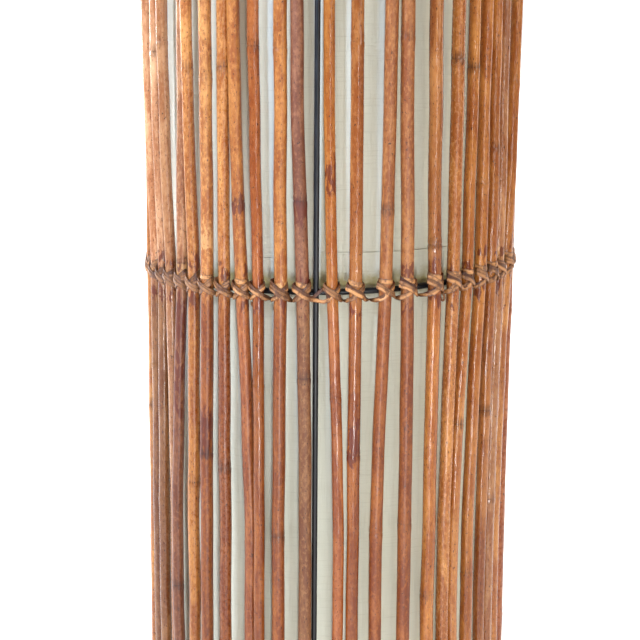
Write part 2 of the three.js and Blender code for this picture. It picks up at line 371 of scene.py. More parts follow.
def varnished_cane(settings):
    """Varnished rattan: long blotches, fine mottling, dark specks, red stains, scars and scraped patches."""
    material, tree, shader = new_material("varnished_cane")
    tone = attribute(tree, "tone").outputs["Color"]
    marks = node(tree, "ShaderNodeSeparateColor", {"Color": attribute(tree, "marks").outputs["Color"]})
    stain, scar, bare = (marks.outputs[channel] for channel in ("Red", "Green", "Blue"))
    dullness = attribute(tree, "dullness").outputs["Fac"]

    blotch = grain(tree, place_on(tree, (1, 1, 0.2)), 95, detail=4, distortion=0.4)
    mottle = grain(tree, place_on(tree, (1, 1, 0.6)), 400, detail=4, roughness=0.65)
    fibre = grain(tree, place_on(tree, (1, 1, 0.035)), 1100, detail=2)
    speck = grain(tree, place_on(tree, (1, 1, 0.5)), 800, detail=3)

    deeper = mixed(tree, 1.0, tone, (0.54, 0.36, 0.27, 1), "MULTIPLY")
    paler = mixed(tree, 1.0, tone, (1.3, 1.42, 1.5, 1), "MULTIPLY")
    zone = grain(tree, place_on(tree, (1, 1, 0.6)), 28, detail=3)
    colour = mixed(tree, ramp(tree, zone, 0.38, 0.62, 0, 0.55), tone, deeper)
    colour = mixed(tree, ramp(tree, zone, 0.42, 0.28, 0, 0.45), colour, paler)
    colour = mixed(tree, ramp(tree, blotch, 0.55, 0.42, 0, 0.85), colour, deeper)
    fleck = maths(tree, "MULTIPLY", ramp(tree, mottle, 0.51, 0.61), ramp(tree, dullness, 0.1, 0.8, 0.25, 0.6))
    colour = mixed(tree, fleck, colour, paler)
    shadow_share = ramp(tree, dullness, 0.1, 0.8, 0.3, 0.65)
    shadow = maths(tree, "MULTIPLY", ramp(tree, mottle, 0.48, 0.37), shadow_share)
    colour = mixed(tree, shadow, colour, deeper)
    colour = mixed(tree, ramp(tree, fibre, 0.35, 0.65, 0.22, 0), colour, deeper)
    colour = mixed(tree, ramp(tree, speck, 0.635, 0.665, 0, 0.85), colour, tuple(settings.scar))

    ragged = maths(tree, "ADD", bare, ramp(tree, mottle, 0.35, 0.65, -0.5, 0.3))
    colour = mixed(tree, ramp(tree, ragged, 0.45, 0.75, 0, 0.8), colour, tuple(settings.bare))
    streaks = grain(tree, place_on(tree, (1, 1, 0.35)), 240, detail=3, distortion=0.6)
    soaked = maths(tree, "ADD", stain, ramp(tree, streaks, 0.35, 0.65, -0.55, 0.35))
    colour = mixed(tree, ramp(tree, soaked, 0.42, 0.6, 0, 0.85), colour, tuple(settings.stain))
    scarred = maths(tree, "ADD", scar, ramp(tree, fibre, 0.3, 0.7, -0.3, 0.3))
    colour = mixed(tree, ramp(tree, scarred, 0.25, 0.85, 0, 0.8), colour, tuple(settings.scar))

    rough = maths(tree, "ADD", ramp(tree, dullness, 0, 1, 0.06, 0.5), ramp(tree, mottle, 0.35, 0.65, 0, 0.12))
    connect(tree, shader, Base_Color=colour, Roughness=rough)
    shader.inputs["Specular IOR Level"].default_value = 0.5
    dents = grain(tree, place_on(tree, (1, 1, 0.45)), 120, detail=2)
    relief = maths(tree, "ADD", dents, maths(tree, "MULTIPLY", maths(tree, "ADD", mottle, fibre), 0.25))
    bump(tree, shader, relief, 0.0009, 0.7)
    return material


def cut_cane():
    """Saw-cut end of a cane, with its open pores."""
    material, tree, shader = new_material("cut_cane_end")
    place = place_on(tree)
    pores = node(tree, "ShaderNodeTexVoronoi", {"Vector": place, "Scale": 1500}).outputs["Distance"]
    wood = grain(tree, place, 300)
    colour = mixed(tree, ramp(tree, wood, 0.3, 0.7), shade("c9a06a"), shade("a57a48"))
    colour = mixed(tree, ramp(tree, pores, 0.3, 0.12), colour, shade("4b301c"))
    connect(tree, shader, Base_Color=colour, Roughness=ramp(tree, wood, 0.3, 0.7, 0.65, 0.85))
    bump(tree, shader, pores, 0.0003)
    return material


def split_cane(settings):
    """Flat split cane: a satin skin with fine lengthwise grain, and dark edges that are partly the strip's
    cut sides and partly painted shade where the strips meet.
    """
    material, tree, shader = new_material("split_cane")
    along = place_on(tree, (4, 14, 1), uv="UVMap")
    grain_lines = grain(tree, along, 1.0, detail=4)
    dirt = grain(tree, place_on(tree), 170, detail=4, roughness=0.65)
    across = node(tree, "ShaderNodeSeparateXYZ", {0: place_on(tree, uv="UVMap")}).outputs["Y"]
    edge = maths(tree, "ABSOLUTE", maths(tree, "SUBTRACT", across, 0.5), 0.0)
    tone = attribute(tree, "strip_tone").outputs["Fac"]
    colour = mixed(tree, tone, tuple(settings.dark), tuple(settings.light))
    colour = mixed(tree, ramp(tree, grain_lines, 0.38, 0.6, 0.25, 0), colour, tuple(settings.dark))
    # Darker towards both edges of each strip: partly the cut sides of the cane, partly painted shade in the
    # creases between strips.
    colour = mixed(tree, ramp(tree, edge, 0.22, 0.42, 0, 0.6), colour, tuple(settings.dark))
    colour = mixed(tree, ramp(tree, dirt, 0.5, 0.6, 0, 0.7), colour, tuple(settings.dark))
    connect(tree, shader, Base_Color=colour, Roughness=ramp(tree, grain_lines, 0.3, 0.7, 0.24, 0.5))
    bump(tree, shader, grain_lines, 0.0006, 0.9)
    return material


BAND_A_METRE = 0.314            # the Wave node's scale that gives one band a metre
TINGE_RISE = 0.005               # the greenish band is strongest this far above the middle ring
TINGE_REACH = 0.015              # and thins out over this height


def woven_cloth(settings, tape=False):
    """Off-white plain weave: two sets of threads, slubs, and a greenish band just above the middle ring."""
    material, tree, shader = new_material("hem_tape" if tape else "diffuser_cloth")
    wave_scale = BAND_A_METRE / settings.thread
    place = place_on(tree, uv="cloth")
    warp = node(tree, "ShaderNodeTexWave", {"Vector": place, "Scale": wave_scale, "Distortion": 0.4},
                bands_direction="X").outputs["Fac"]
    weft = node(tree, "ShaderNodeTexWave", {"Vector": place, "Scale": wave_scale, "Distortion": 0.4},
                bands_direction="Y").outputs["Fac"]
    threads = maths(tree, "MAXIMUM", warp, weft)
    long_slubs = grain(tree, place_on(tree, (1, 0.05, 1), uv="cloth"), 700, detail=2)
    cross_slubs = grain(tree, place_on(tree, (0.05, 1, 1), uv="cloth"), 700, detail=2)
    clouds = grain(tree, place_on(tree), 9, detail=3)
    slubs = maths(tree, "MAXIMUM", long_slubs, cross_slubs)
    colour = mixed(tree, ramp(tree, slubs, 0.55, 0.8, 0, 0.6), tuple(settings.light), tuple(settings.dull))
    colour = mixed(tree, ramp(tree, clouds, 0.4, 0.7, 0, 0.35), colour, tuple(settings.dull))
    colour = mixed(tree, ramp(tree, threads, 0.6, 0.0, 0, 0.35), colour, tuple(settings.dull))
    if not tape:
        # A greenish band on the cloth, strongest just above the middle ring, fading with height and broken
        # into patches.
        height = node(tree, "ShaderNodeSeparateXYZ", {0: place_on(tree)}).outputs["Z"]
        thickest = RING_HEIGHT["middle"] + TINGE_RISE
        from_ring = maths(tree, "ABSOLUTE", maths(tree, "SUBTRACT", height, thickest), 0.0)
        fading = ramp(tree, from_ring, 0.0, TINGE_REACH, 1.0, 0)
        patches = ramp(tree, grain(tree, place_on(tree), 120), 0.35, 0.65, -0.25, 0.2)
        tinge = maths(tree, "ADD", fading, patches)
        colour = mixed(tree, ramp(tree, tinge, 0.2, 0.9, 0, 0.8), colour, tuple(settings.greenish_tinge))
    connect(tree, shader, Base_Color=colour, Roughness=ramp(tree, threads, 0, 1, 0.95, 0.8))
    shader.inputs["Sheen Weight"].default_value = 0.15
    bump(tree, shader, maths(tree, "ADD", threads, slubs), 0.0003, 0.5)
    return material


def plain_finish(
    name, colour, dull_colour, roughness, scale=240, metallic=0.0, depth=0.0001, stretch=(1, 1, 1)
):
    """A finish whose colour and gloss wander a little: paint, plating, rubber, plastic."""
    material, tree, shader = new_material(name)
    place = place_on(tree, stretch)
    broad = grain(tree, place, scale * 0.15, detail=4)
    fine = grain(tree, place, scale, detail=3)
    tint = mixed(tree, ramp(tree, broad, 0.35, 0.7), colour, dull_colour)
    tint = mixed(tree, ramp(tree, fine, 0.55, 0.75, 0, 0.5), tint, dull_colour)
    rough = maths(tree, "ADD", ramp(tree, broad, 0.3, 0.7, roughness * 0.85, roughness * 1.2),
                  ramp(tree, fine, 0.3, 0.7, -0.03, 0.05))
    connect(tree, shader, Base_Color=tint, Roughness=rough)
    shader.inputs["Metallic"].default_value = metallic
    bump(tree, shader, fine, depth, 0.5)
    return material


# ---------------------------------------------------------------- canes
# Colour above and below the middle ring, dullness from 0 to 1, and heights of joints in mm, of canes 1 to 24.
# Canes are numbered towards +X from the second one at the front's left edge, and the others follow a rule.
# The change of colour at the middle ring is partly painted light and shade: most canes on the left and in the
# middle are paler above the ring, where more light falls, and darker below it. The rest is the canes' own
# colour.
FRONT_LOOKS = {
    1: ("straw", "brown", 0.2, (515,)),
    2: ("straw", "brown", 0.15, (395, 790)),
    3: ("fawn", "fawn", 0.2, (400, 800)),
    4: ("fawn", "plum", 0.55, (614,)),
    5: ("honey", "amber", 0.45, (424,)),
    6: ("honey", "rust", 0.6, (453,)),
    7: ("honey", "rust", 0.4, (444,)),
    8: ("amber", "orange", 0.55, (673,)),
    9: ("orange", "rust", 0.0, (521,)),
    10: ("amber", "rust", 0.5, (390, 800)),
    11: ("plum", "brown", 0.9, (529, 677)),
    12: ("amber", "orange", 0.1, (513,)),
    13: ("toffee", "rust", 0.05, (463,)),
    14: ("toffee", "rust", 0.55, (670,)),
    15: ("toffee", "rust", 0.6, (400, 810)),
    16: ("toffee", "amber", 0.1, (638,)),
    17: ("amber", "honey", 0.3, (395, 790)),
    18: ("amber", "honey", 0.0, (479,)),
    19: ("amber", "amber", 0.1, (684,)),
    20: ("amber", "toffee", 0.05, (483, 712)),
    21: ("fawn", "fawn", 0.0, (682,)),
    22: ("amber", "honey", 0.1, (499,)),
    23: ("amber", "orange", 0.4, (560,)),
    24: ("orange", "amber", 0.4, (610,)),
}
# Stained and scraped stretches of single canes, from a lower to an upper height in mm.
DARK_STRETCHES = {4: (470, 590), 6: (452, 492), 8: (664, 678), 11: (664, 676), 12: (688, 706), 13: (459, 485)}
BARE_PATCHES = {4: (604, 613), 6: (627, 649), 10: (601, 611), 21: (612, 622)}
OTHER_TONES = ("amber", "rust", "honey", "orange", "brown", "amber", "fawn", "orange", "rust")
OTHER_FIRST_JOINT = 420         # in mm: the joint that the rule gives stands here or up to 240 higher
BAY_PARTS = 4                   # a cane is read at this many steps between two rings
RING_CLEAR = 10 * MM            # and this far above and below the middle ring
END_GAP = 0.15 * MM             # the visual canes are this much shorter at each end
END_DEPTH = 8 * MM              # the slanted cut of an end takes less than this along the cane
JOINT_CLEAR = 0.02              # no joint lies nearer than this to a cane's end
JOINT_ROWS = (-7, -3.5, -1.2, 0, 1.2, 3.5, 7)  # extra rows of points round a joint, in mm
LEAST_STEP = 0.8 * MM           # rows nearer than this are left out
CANE_WANDER = 0.7 * MM          # how far a cane strays from its centre line
CANE_FIT = 0.985                # share of the CAD radius, so that the stray stays inside
SAWN = 0.6                      # a face that looks this much up or down is a sawn end


class Cane:
    """One cane's number, centre line and radius, read from its CAD node."""

    def __init__(self, number, points, radius):
        self.number = number
        self.points = points
        self.radius = radius

    def centre(self, height):
        """A point of the centre line, on a smooth curve through the points that were read."""
        points = self.points
        k = 0
        while k < len(points) - 2 and points[k + 1].z < height:
            k += 1
        a, b = points[k], points[k + 1]
        before = points[k - 1] if k else a - (b - a)
        after = points[k + 2] if k + 2 < len(points) else b + (b - a)
        slope_a = (b - before) / (b.z - before.z)
        slope_b = (after - a) / (after.z - a.z)
        step = b.z - a.z
        t = (height - a.z) / step
        spot = (
            a * (2 * t**3 - 3 * t**2 + 1)
            + b * (3 * t**2 - 2 * t**3)
            + slope_a * step * (t**3 - 2 * t**2 + t)
            + slope_b * step * (t**3 - t**2)
        )
        return Vector((spot.x, spot.y, height))


def cut_level(node_name, height):
    """Points where a node's surface crosses a level plane."""
    mesh = NODES[node_name].data
    found = []
    for edge in mesh.edges:
        a, b = (mesh.vertices[v].co for v in edge.vertices)
        if (a.z - height) * (b.z - height) < 0:
            found.append(a.lerp(b, (height - a.z) / (b.z - a.z)))
    return found


def cut_canes(node_name, height):
    """Centre and radius of each cane of a node at a height, in order towards +X from the front."""
    points = cut_level(node_name, height)
    outward = middle(node_name)
    base = angle_of(outward)
    turned_to = {}
    for k, point in enumerate(points):
        turned_to[k] = (angle_of(point) - base + math.pi) % (2 * math.pi) - math.pi
    order = sorted(turned_to, key=turned_to.get)
    groups = [order]
    if node_name.startswith("canes"):
        gaps = [turned_to[b] - turned_to[a] for a, b in zip(order, order[1:])]
        split = gaps.index(max(gaps)) + 1
        groups = [order[:split], order[split:]]
    canes = []
    for group in groups:
        spots = [points[k] for k in group]
        xs, ys = [p.x for p in spots], [p.y for p in spots]
        centre = Vector(((min(xs) + max(xs)) / 2, (min(ys) + max(ys)) / 2, height))
        canes.append((centre, max((p - centre).length for p in spots)))
    return canes


def cane_end(node_name, beside, others, beyond, sign):
    """Middle of a cane's cut end: the points past a height that are nearer to this cane than to others."""
    spots = [vertex.co for vertex in NODES[node_name].data.vertices if (vertex.co.z - beyond) * sign > 0]
    own = [p for p in spots if all((p - beside).xy.length <= (p - other).xy.length for other in others)]
    reach = max(p.z * sign for p in own)
    rim = [p for p in own if reach - p.z * sign < END_DEPTH]
    low = Vector([min(p[axis] for p in rim) for axis in range(3)])
    high = Vector([max(p[axis] for p in rim) for axis in range(3)])
    return (low + high) / 2


def read_canes():
    """Every cane of the frame, by node name."""
    found = {}
    lower, mid, upper = (RING_HEIGHT[level] for level in LEVELS)
    heights = [lower]
    heights += [lower + (mid - lower) * k / BAY_PARTS for k in range(1, BAY_PARTS)]
    heights += [mid - RING_CLEAR, mid + RING_CLEAR]
    heights += [mid + (upper - mid) * k / BAY_PARTS for k in range(1, BAY_PARTS)]
    heights += [upper]
    for name in sorted(n for n in NODES if n.startswith("cane")):
        if name == "cane_frame":
            continue
        numbers = [int(part) for part in name.split("_")[1:]]
        rows = [cut_canes(name, height) for height in heights]
        found[name] = []
        for k, number in enumerate(numbers):
            line = [row[k][0] for row in rows]
            foot_others = [place for place, _ in rows[0] if place is not line[0]]
            head_others = [place for place, _ in rows[-1] if place is not line[-1]]
            foot = cane_end(name, line[0], foot_others, lower - RING_CLEAR, -1)
            head = cane_end(name, line[-1], head_others, upper + RING_CLEAR, 1)
            found[name].append(Cane(number, [foot, *line, head], rows[0][k][1]))
    return found


def look_of(number):
    if number in FRONT_LOOKS:
        return FRONT_LOOKS[number]
    above = OTHER_TONES[(number * 4) % len(OTHER_TONES)]
    below = OTHER_TONES[(number * 4 + number % 2) % len(OTHER_TONES)]
    first = OTHER_FIRST_JOINT + (number * 97) % 240
    return above, below, 0.2 + 0.1 * (number % 5), (first,)


def joint_heights(number, settings, bottom, top):
    """The joints that are given, and more beyond them at about the usual spacing."""
    rng = random.Random(number)
    joints = [height * MM for height in look_of(number)[3]]
    while joints[0] > bottom:
        joints.insert(0, joints[0] - settings.joint_spacing * rng.uniform(0.8, 1.15))
    while joints[-1] < top:
        joints.append(joints[-1] + settings.joint_spacing * rng.uniform(0.8, 1.15))
    return [z for z in joints if bottom + JOINT_CLEAR < z < top - JOINT_CLEAR]


def bell(distance, width):
    return math.exp(-((distance / width) ** 2))


def between(value, low, high, soft):
    """1 between low and high, falling to 0 over a soft distance on both sides."""
    return max(0.0, min(1.0, (value - low) / soft + 1, (high - value) / soft + 1))


def grow_cane(cane, settings):
    """One cane as a curve with a thickness at each point, made a mesh and given its marks."""
    bottom, top = cane.points[0].z + END_GAP, cane.points[-1].z - END_GAP
    joints = joint_heights(cane.number, settings, bottom, top)
    count = round((top - bottom) / settings.step)
    heights = [bottom + (top - bottom) * k / count for k in range(count + 1)]
    for joint in joints:
        heights += [joint + offset * MM for offset in JOINT_ROWS]
    heights.sort()
    heights = [z for k, z in enumerate(heights) if k == 0 or z - heights[k - 1] > LEAST_STEP]

    deselect()
    bpy.ops.curve.primitive_nurbs_path_add()
    piece = added(f"grown_{cane.number:02d}")
    curve = piece.data
    curve.splines.clear()
    line = curve.splines.new("POLY")
    line.points.add(len(heights) - 1)
    for point, z in zip(line.points, heights):
        near = min((abs(z - joint), z - joint) for joint in joints)[1]
        swelling = settings.joint_swelling * bell(near + 1.5 * MM, 6 * MM)
        groove = settings.joint_groove * bell(near, 0.9 * MM)
        waver = noise.noise(Vector((cane.number * 3.1, z * 9, 0))) * settings.uneven
        wander = Vector([noise.noise(Vector((z * 14, cane.number, row))) for row in (1, 7)] + [0])
        bowed = between(z, RING_HEIGHT["lower"], RING_HEIGHT["upper"], 0.02)
        spot = cane.centre(z) + wander * CANE_WANDER * bowed
        point.co = (*spot, 1)
        point.radius = 1 + waver + (swelling - groove) / cane.radius
    curve.bevel_depth = cane.radius * CANE_FIT
    curve.bevel_resolution = 5
    curve.use_fill_caps = True
    choose(piece)
    bpy.ops.object.convert(target="MESH")
    mark_cane(piece, cane, joints, settings)
    return piece


def mark_cane(piece, cane, joints, settings):
    """Writes a cane's colour, marks and dullness at each of its points. Its sawn ends get their own slot."""
    above, below, dullness, _ = look_of(cane.number)
    tone_above, tone_below = (Vector(getattr(settings, tone)) for tone in (above, below))
    dark = [h * MM for h in DARK_STRETCHES.get(cane.number, (0, 0))]
    bare = [h * MM for h in BARE_PATCHES.get(cane.number, (0, 0))]
    mesh = piece.data
    for name, kind in (("tone", "FLOAT_COLOR"), ("marks", "FLOAT_COLOR"), ("dullness", "FLOAT")):
        mesh.attributes.new(name, kind, "POINT")
    tones, marks, dullnesses = (mesh.attributes[name].data for name in ("tone", "marks", "dullness"))
    rng = random.Random(cane.number * 7)
    soak = [rng.uniform(0.25, 0.95) for _ in range(6)]
    for k, vertex in enumerate(mesh.vertices):
        z = vertex.co.z
        # Below the middle ring a cane takes its lower colour, which on many canes is also painted shade, and
        # above it its upper colour.
        share = between(z, RING_HEIGHT["middle"], 9, 0.02)
        tone = tone_below.lerp(tone_above, share)
        drift = 1 + 0.16 * noise.noise(Vector((cane.number * 5.3, z * 5, 3)))
        tones[k].color = (tone.x * drift, tone.y * drift, tone.z * drift, 1)
        stain = 0.0
        for n, level in enumerate(LEVELS):
            from_ring = z - ring_height_at(level, vertex.co)
            side = 0 if from_ring < 0 else 1
            stain = max(stain, soak[2 * n + side] * bell(abs(from_ring) - (11 + 4 * side) * MM, 8.5 * MM))
        stain = max(stain, 0.75 * between(z, dark[0], dark[1], 6 * MM) if dark[1] else 0)
        near = min((abs(z - joint), joint) for joint in joints)
        strength = 0.35 + 0.6 * (math.sin(near[1] * 9173) * 0.5 + 0.5)
        scar = strength * max(0.8 * bell(near[0], 1.5 * MM), 0.6 * bell(near[0] - 2 * MM, 5 * MM))
        bare_here = between(z, bare[0], bare[1], 3 * MM) if bare[1] else 0.0
        marks[k].color = (stain, scar, bare_here, 1)
        dullnesses[k].value = dullness
    for face in mesh.polygons:
        face.material_index = 1 if len(face.vertices) > 4 and abs(face.normal.z) > SAWN else 0
        face.use_smooth = face.material_index == 0


class LAMP_OT_canes(bpy.types.Operator):
    """Grow the fifty canes along the centre lines of the frame"""

    bl_idname = "lamp.canes"
    bl_label = "Canes"

    def execute(self, context):
        settings = context.scene.lamp_canes
        finish = [varnished_cane(settings), cut_cane()]
        for name, canes in read_canes().items():
            grown = [grow_cane(cane, settings) for cane in canes]
            numbers = "_".join(name.split("_")[1:])
            piece = join(f"rattan_{numbers}", grown) if len(grown) > 1 else grown[0]
            piece.name = f"rattan_{numbers}"
            piece.data.name = piece.name
            indices = [face.material_index for face in piece.data.polygons]
            hand_over(piece, "cane_frame", "cane", finish, name)
            piece.data.polygons.foreach_set("material_index", indices)
        return {"FINISHED"}


# ---------------------------------------------------------------- lashings
STRAND_STEP = 2.5 * MM          # height between two strands of a crossing
STRANDS = 3
THIRD_STRAND = 0.45             # share of the crossings that have all the strands
BAND_SHARE = {"left": 0.45, "right": 0.9}  # share of the crossings with a turn above them
RIGHT_PART = 0.2                # the angle from the front where the right part begins
UPRIGHT_NEAR = 0.04             # an upright within this angle of a gap's middle stands in the gap
STRIP_ROWS = 26
BAND_ROWS = 10


def catmull(values, t):
    """A smooth curve through a list of vectors, for t from 0 to 1."""
    last = len(values) - 1
    place = min(t * last, last - 1e-6)
    k = int(place)
    u = place - k
    p0, p1, p2, p3 = (values[max(0, min(last, k + n))] for n in (-1, 0, 1, 2))
    return 0.5 * (
        2 * p1 + (p2 - p0) * u + (2 * p0 - 5 * p1 + 4 * p2 - p3) * u**2 + (3 * p1 - p0 - 3 * p2 + p3) * u**3
    )


def strip_template(rows):
    """A flat grid that each strip is bent from."""
    deselect()
    bpy.ops.mesh.primitive_grid_add(x_subdivisions=rows, y_subdivisions=2, size=1)
    return added("strip_template")


def bend_strip(template, spots, normals, width, tone, crown=0.25 * MM):
    """A copy of the template laid along a path, with its face towards the normals."""
    strip = template.copy()
    strip.data = template.data.copy()
    bpy.context.collection.objects.link(strip)
    tone_layer = strip.data.attributes.new("strip_tone", "FLOAT", "POINT")
    for k, vertex in enumerate(strip.data.vertices):
        t, side = vertex.co.x + 0.5, vertex.co.y * 2
        spot = catmull(spots, t)
        ahead = (catmull(spots, min(t + 0.01, 1)) - catmull(spots, max(t - 0.01, 0))).normalized()
        normal = catmull(normals, t).normalized()
        across = normal.cross(ahead).normalized()
        out = ahead.cross(across)
        ragged = 1 + 0.35 * noise.noise(Vector((t * 9, tone * 90, side)))
        lift = crown * (1 - side * side) + 0.35 * MM * noise.noise(Vector((t * 11, tone * 70, 5)))
        vertex.co = spot + across * side * ragged * width / 2 + out * lift
        tone_layer.data[k].value = tone
    return strip


class Stop:
    """A cane where a lashing crosses it: its place, angle and radius at a ring's height."""

    def __init__(self, cane, level):
        near = cane.centre(RING_HEIGHT[level])
        self.centre = cane.centre(ring_height_at(level, near))
        self.angle = angle_of(self.centre)
        self.reach = flat_length(self.centre)
        self.radius = cane.radius
        self.number = cane.number

    def at(self, sideways, rise, lift):
        """A point beside the cane and the way it faces.

        Sideways is in cane radii, and lift is the room off the cane.
        """
        turn = max(-1.9, min(1.9, sideways * 1.25))
        off = self.radius + lift
        outward = Vector((math.sin(self.angle + turn), -math.cos(self.angle + turn), 0))
        spot = self.centre + outward * off
        spot.z = self.centre.z + rise
        return spot, outward


def crossing(stop, following, level, settings, rng, layer):
    """Path of one strip: down across a cane, under the ring, and up across the next cane.

    Each layer lies under the one before.
    """
    thick = settings.strip_thickness
    gap_angle = (stop.angle + following.angle + (2 * math.pi if following.angle < stop.angle else 0)) / 2
    in_gap = [
        place for place in UPRIGHT_PLACE.values()
        if abs(math.remainder(angle_of(place) - gap_angle, 2 * math.pi)) < UPRIGHT_NEAR
    ]
    gap_reach = RING_RADIUS + 1.5 * MM
    gap_drop = rng.uniform(-7.4, -5.6) * MM
    out_of_gap = Vector((0, 0, 1))
    if in_gap:
        gap_angle = angle_of(in_gap[0])
        gap_reach = UPRIGHT_REACH + UPRIGHT_RADIUS + thick + 0.3 * MM
        gap_drop = (-5.0, -1.0, 2.0)[layer] * MM
        out_of_gap = round_place(1, gap_angle, 0)
    in_the_gap = round_place(gap_reach, gap_angle, 0)
    in_the_gap.z = ring_height_at(level, in_the_gap) + gap_drop
    over, under = thick * (2.6 - layer * 0.6), thick * (1.0 - layer * 0.2)
    high = layer * STRAND_STEP

    def near(rise):
        return rise * MM + high + rng.uniform(-0.5, 0.5) * MM

    arrival = near(1.5) if in_gap and layer else near(-6.2) - high * 0.7
    path = [
        stop.at(-1.5, near(5.6), thick * 0.6),
        stop.at(-1.0, near(5.0), over + 1.6 * MM),
        stop.at(-0.5, near(2.8), over + 0.4 * MM),
        stop.at(0, near(0.2), over),
        stop.at(0.5, near(-2.2), over),
        stop.at(1.0, near(-4.6), over + 0.8 * MM),
        (in_the_gap, out_of_gap),
        following.at(-1.1, arrival, under + 1.6 * MM),
        following.at(-0.5, near(-4.2) - high * 0.5, under),
        following.at(0, near(-1.2) - high * 0.4, under),
        following.at(0.5, near(1.8) - high * 0.2, under),
        following.at(1.0, near(4.6), under + 1.2 * MM),
        following.at(1.5, near(5.8), thick * 0.4),
    ]
    return [p for p, _ in path], [n for _, n in path]


def band(stop, settings, rng):
    """Path of the single turn above a crossing, round the outer side of a cane."""
    rise = 8.6 * MM + rng.uniform(-0.8, 0.8) * MM
    slant = rng.uniform(0.2, 2.4) * MM
    sides = [-1.45, -1.0, -0.5, 0, 0.5, 1.0, 1.45]
    path = [stop.at(side, rise - slant * side, settings.strip_thickness * 0.55) for side in sides]
    return [p for p, _ in path], [n for _, n in path]


def loose_end(stop, drop):
    """A curled tail of split cane that hangs in the gap after a cane."""
    spots, normals = [], []
    for k in range(9):
        turn = k * 0.62
        curl = 2.6 * MM * (1 - 0.06 * k)
        angle = stop.angle + (stop.radius + 3.2 * MM + curl * (1 - math.cos(turn)) * 0.8) / stop.reach
        height = stop.centre.z - drop - curl * math.sin(turn) * 1.5
        spots.append(round_place(stop.reach - 1.5 * MM, angle, height))
        normals.append(round_place(1, angle + 0.9 * math.cos(turn), 0))
    return spots, normals


LOOSE_ENDS = {8: 9 * MM, 16: 10 * MM}  # the canes that a tail hangs beside, and how far below the ring


class LAMP_OT_lashings(bpy.types.Operator):
    """Weave split cane over every cane and round each ring"""

    bl_idname = "lamp.lashings"
    bl_label = "Lashings"

    def execute(self, context):
        settings = context.scene.lamp_lashing
        finish = split_cane(settings)
        long_strip, short_strip = strip_template(STRIP_ROWS), strip_template(BAND_ROWS)
        canes = [cane for group in read_canes().values() for cane in group]
        for level in LEVELS:
            rng = random.Random(level)
            stops = sorted((Stop(cane, level) for cane in canes), key=lambda stop: stop.angle)
            strips = []
            for k, stop in enumerate(stops):
                following = stops[(k + 1) % len(stops)]
                worn = rng.uniform(0.45, 1.15)
                for layer in range(STRANDS if rng.random() < THIRD_STRAND else STRANDS - 1):
                    path = crossing(stop, following, level, settings, rng, layer)
                    width = settings.strip_width * rng.uniform(0.85, 1.1)
                    # A strand that lies under another gets a darker tone, as painted shade under the strands
                    # above it. Worn varies the whole crossing's tone at random.
                    tone = worn * (rng.uniform(0.6, 1.1) if layer == 0 else rng.uniform(0.0, 0.75))
                    strips.append(bend_strip(long_strip, *path, width, tone))
                if rng.random() < BAND_SHARE["right" if stop.angle > RIGHT_PART else "left"]:
                    turn = band(stop, settings, rng)
                    strips.append(bend_strip(short_strip, *turn, settings.band_width, rng.uniform(0.8, 1.3)))
                if level == "middle" and stop.number in LOOSE_ENDS:
                    tail = loose_end(stop, LOOSE_ENDS[stop.number])
                    strips.append(bend_strip(short_strip, *tail, 2 * MM, 0.35))
            piece = join(f"split_cane_{level}", strips)
            apply_modifier(piece, "SOLIDIFY", thickness=settings.strip_thickness, offset=-1)
            smooth(piece, 50)
            hand_over(piece, "cane_frame", "split_cane", finish, f"lashing_{level}")
        for template in (long_strip, short_strip):
            bpy.data.objects.remove(template)
        return {"FINISHED"}


# ---------------------------------------------------------------- wire frame and feet
class LAMP_OT_wires(bpy.types.Operator):
    """Bend the three rings and stand the four uprights, with their weld beads"""

    bl_idname = "lamp.wires"
    bl_label = "Rings and uprights"

    def execute(self, context):
        settings = context.scene.lamp_hardware
        paint = plain_finish(
            "black_paint", tuple(settings.paint), shade("14171b"), 0.34, scale=420, depth=0.00003
        )
        for level in LEVELS:
            deselect()
            bpy.ops.mesh.primitive_torus_add(
                major_segments=160,
                minor_segments=14,
                major_radius=RING_RADIUS,
                minor_radius=WIRE_THICKNESS / 2,
                location=(0, 0, RING_HEIGHT[level]),
                rotation=(0, -RING_TILT[level], 0),
            )
            piece = added(f"wire_ring_{level}")
            settle(piece)
            smooth(piece, 80)
            hand_over(piece, "cane_frame", "black_wire", paint, f"ring_{level}")
        for side in SIDES:
            self.upright(side, paint)
        return {"FINISHED"}

    def upright(self, side, paint):
        low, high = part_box(f"upright_{side}")
        place = UPRIGHT_PLACE[side]
        deselect()
        bpy.ops.mesh.primitive_cylinder_add(
            vertices=20, radius=UPRIGHT_RADIUS, depth=high.z - low.z, location=place
        )
        rod = added("rod")
        settle(rod)
        bpy.ops.object.mode_set(mode="EDIT")
        select_by(rod, "edges", lambda e: abs(e.verts[0].co.z - e.verts[1].co.z) < MM)
        bpy.ops.mesh.bevel(offset=0.6 * MM, segments=3, affect="EDGES")
        bpy.ops.object.mode_set(mode="OBJECT")
        pieces = [rod]
        toward_axis = Vector((-place.x, -place.y, 0)).normalized()
        for level in LEVELS:
            spot = place + toward_axis * (UPRIGHT_RADIUS + 0.2 * MM)
            spot.z = ring_height_at(level, place)
            deselect()
            bpy.ops.mesh.primitive_uv_sphere_add(segments=16, ring_count=9, radius=2.2 * MM, location=spot)
            bead = added("bead")
            bead.scale = (1.25, 1.25, 1.5)
            settle(bead)
            for vertex in bead.data.vertices:
                vertex.co += (vertex.co - spot).normalized() * 0.3 * MM * noise.noise(vertex.co * 900)
            pieces.append(bead)
        piece = join(f"wire_upright_{side}", pieces)
        smooth(piece, 50)
        hand_over(piece, "cane_frame", "black_wire", paint, f"upright_{side}")


